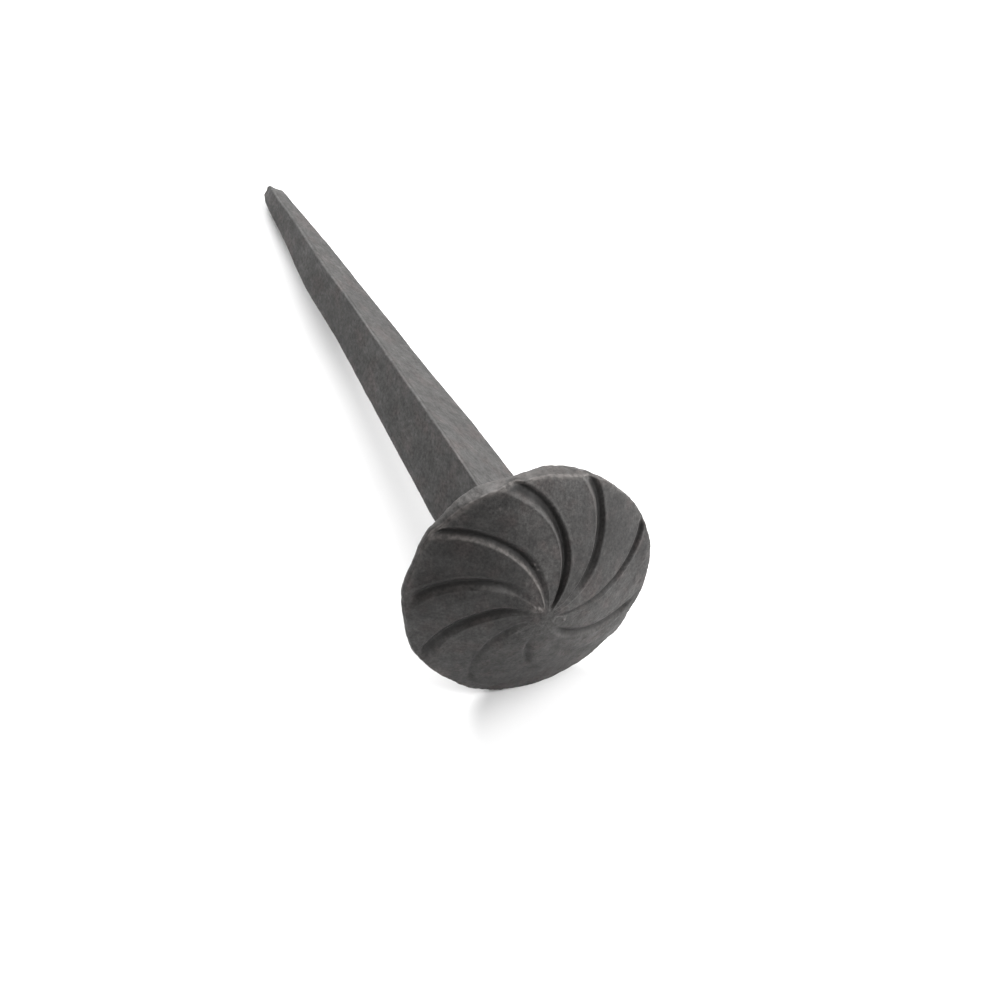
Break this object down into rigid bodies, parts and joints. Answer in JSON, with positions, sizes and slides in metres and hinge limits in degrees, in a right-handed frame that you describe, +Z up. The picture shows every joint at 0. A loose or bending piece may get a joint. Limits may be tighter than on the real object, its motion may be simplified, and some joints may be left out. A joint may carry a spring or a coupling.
{
  "type": "decorative nail",
  "caption": "Hand-forged iron nail with a low domed round head, curved pinwheel grooves and a square tapered shank, lying on its side.",
  "frame": {"origin": "on the surface that the nail lies on, under the middle of the nail", "axes": "+Z up, +Y along the nail from the head to the tip as seen from above, +X to the right when looking from the head to the tip"},
  "size_m": [0.03, 0.103, 0.0295],
  "materials": {
    "forged_head": "dark grey matt forge scale, slightly warm, rubbed paler on the rim",
    "forged_shank": "dark grey matt forge scale, rubbed paler along the corners"
  },
  "bodies": {
    "root": {"head": "forged_head", "shank": "forged_shank"}
  },
  "joints": []
}
